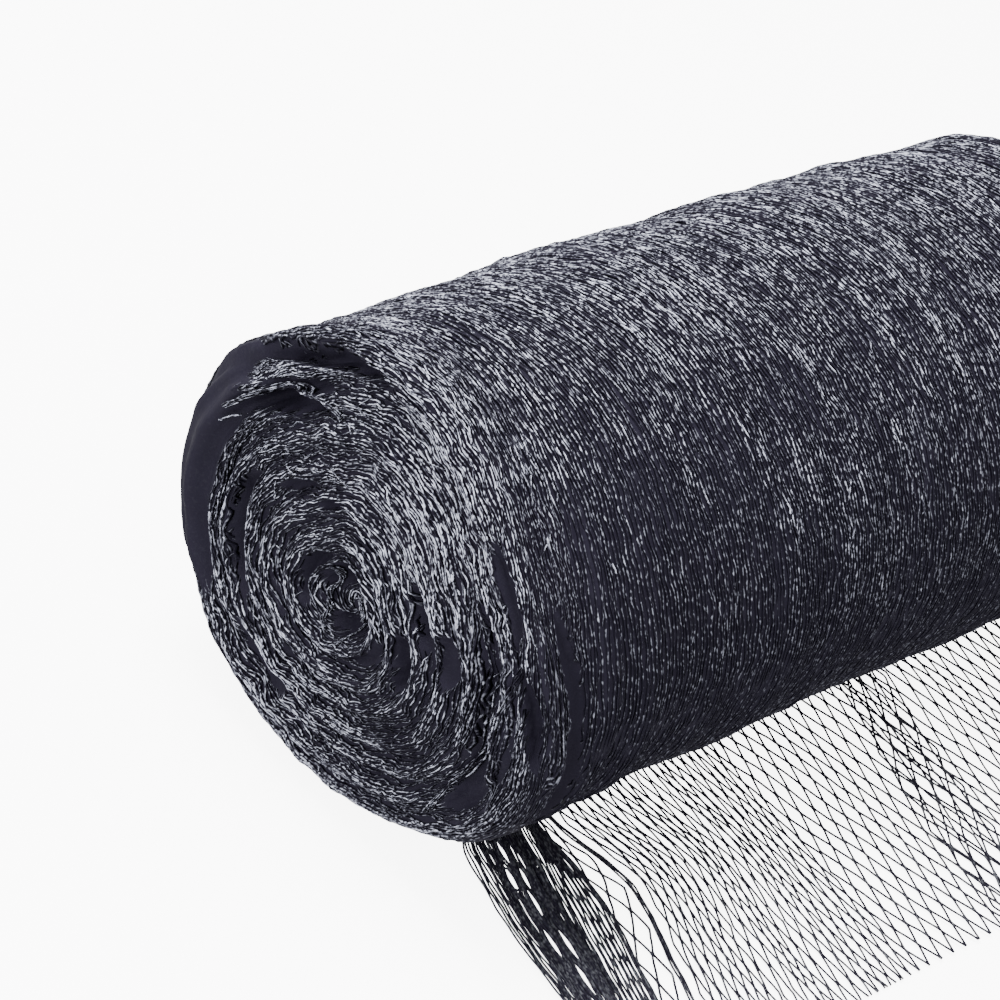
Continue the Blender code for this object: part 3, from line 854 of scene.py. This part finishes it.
def edge_at(edge, y):
    """X of one of the loose end's edges at distances out from the roll."""
    place = np.full_like(y, edge[-1])
    for index in reversed(range(len(STATIONS) - 1)):
        near, far = STATIONS[index], STATIONS[index + 1]
        share = (y - near) / (far - near)
        lead = (edge[index + 1] - edge[max(index - 1, 0)]) / 2.0
        trail = (edge[min(index + 2, len(STATIONS) - 1)] - edge[index]) / 2.0
        square, cube = share * share, share * share * share
        curve = ((2.0 * cube - 3.0 * square + 1.0) * edge[index] + (cube - 2.0 * square + share) * lead
                 + (3.0 * square - 2.0 * cube) * edge[index + 1] + (cube - square) * trail)
        place = np.where(y >= far - 1e-6, curve, place)
    return place


net_count = sum(group[4] for group in THREAD_GROUPS)
loose_net, along, across, up, number = strand_bundle("loose_net_threads", 4, NET_STEPS, net_count)
draw = np.random.default_rng(160)
own = draw.uniform(0.0, 9.0, net_count)[number]
y = STATIONS[0] + (STATIONS[-1] - STATIONS[0]) * along
x, rise, thickness = np.zeros_like(y), np.zeros_like(y), np.ones_like(y)
first_number = 0
for start_edge, end_edge, start_share, end_share, threads, swing, heap in THREAD_GROUPS:
    mine = (number >= first_number) & (number < first_number + threads)
    lane = number[mine] - first_number
    first_number += threads
    out = y[mine]
    left, right = edge_at(start_edge, out), edge_at(end_edge, out)
    spacing = (end_share - start_share) * (right - left) / threads
    phase = -(out - STATIONS[0]) / DIAMOND_LENGTH * 2.0 * math.pi + np.where(lane % 2 == 0, 0.0, math.pi)
    uneven = UNEVEN_PHASE if FEW < threads < MANY else EVEN_PHASE
    phase = phase + uneven * ripple(161 + first_number, 5, (lane, 7.0), (out, 0.09))
    if swing < GATHERED_SWING:
        phase = phase + OWN_PHASE * own[mine]
    to_and_fro = knitted(phase, NET_KNOT_FLATNESS)
    reach = np.maximum(spacing - 0.5 * NET_THREAD_RADIUS, 0.0002) * 0.5 * np.minimum(swing, 1.0)
    share = (lane + 0.5) / threads
    gather = 0.0
    if threads > FEW and swing < BUNCH_SWING:
        gather = LANES_GATHERED * np.sin(share * 24.0 + 16.0 * out + 1.0) * bump(share - 0.5, 0.5)
    place = left + (right - left) * (start_share + (end_share - start_share) * share)
    place = place + spacing * gather + to_and_fro * reach
    place = place + 0.00035 * ripple(170 + first_number, 4, (own[mine], 0.5), (out, 0.022))
    if swing > BUNCH_SWING:
        place = place + BUNCH_STRAY * ripple(180, 5, (own[mine], 0.5), (out, 0.090))
        for slit_share, slit_out, half_length, half_width in BUNCH_SLITS:
            middle = left + (right - left) * slit_share
            aside = place - middle
            push = (half_width + NET_THREAD_RADIUS) * bump(out - slit_out, half_length)
            push = push * np.exp(-np.abs(aside) / SLIT_REACH)
            place = place + np.where(aside > 0.0, push, -push)
    x[mine] = place
    crown = np.sin(math.pi * np.clip(share, 0.02, 0.98)) ** 0.5
    beyond_roll = ease((-out - ROLL_FOOT) / ROLL_FOOT)
    heaped = 0.65 + 0.25 * ripple(190 + first_number, 4, (lane, 14.0), (out, 0.09))
    heaped = heaped + 0.10 * ripple(230 + first_number, 4, (own[mine], 0.5), (out, 0.05))
    rise[mine] = heap * crown * beyond_roll * heaped
    if swing < BUNCH_SWING:
        thicker = THICKENING * np.maximum(spacing - THIN_SPACING, 0.0)
        thickness[mine] = np.minimum(THIN_THREAD + thicker, THICK_THREAD)
wave = np.sin(31.0 * x + 1.3) * np.sin(43.0 * y + 17.0 * x)
rise = np.maximum(rise, 0.0) + NET_WAVE * np.maximum(wave, 0.0) * ease((-y - 0.050) / 0.030)
rise = rise + 0.0002 + 0.0002 * ripple(200, 4, (own, 0.5), (y, 0.02)) ** 2
x = x + across * NET_THREAD_RADIUS * thickness
z = rise + NET_THREAD_RADIUS + up * NET_THREAD_RADIUS * NET_THREAD_CROWN
write_points(loose_net.data, np.stack([x, y, z], -1))
mark_strands(loose_net, y + own, own, np.full_like(y, NET_PAINTED_LIGHT), up)

# LOOSE_GLINT is a painted highlight: faint light dashes painted into the loose end's threads.
LOOSE_GLINT = (0.20, 0.21, 0.23, 1.0)
LOOSE_SPREAD = 0.15

loose_finish = new_thread_finish("loose_thread", LOOSE_GLINT, LOOSE_SPREAD)
bpy.ops.object.shade_smooth()
loose_net.data.materials.append(loose_finish)
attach(loose_net, "root")
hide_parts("loose_net")
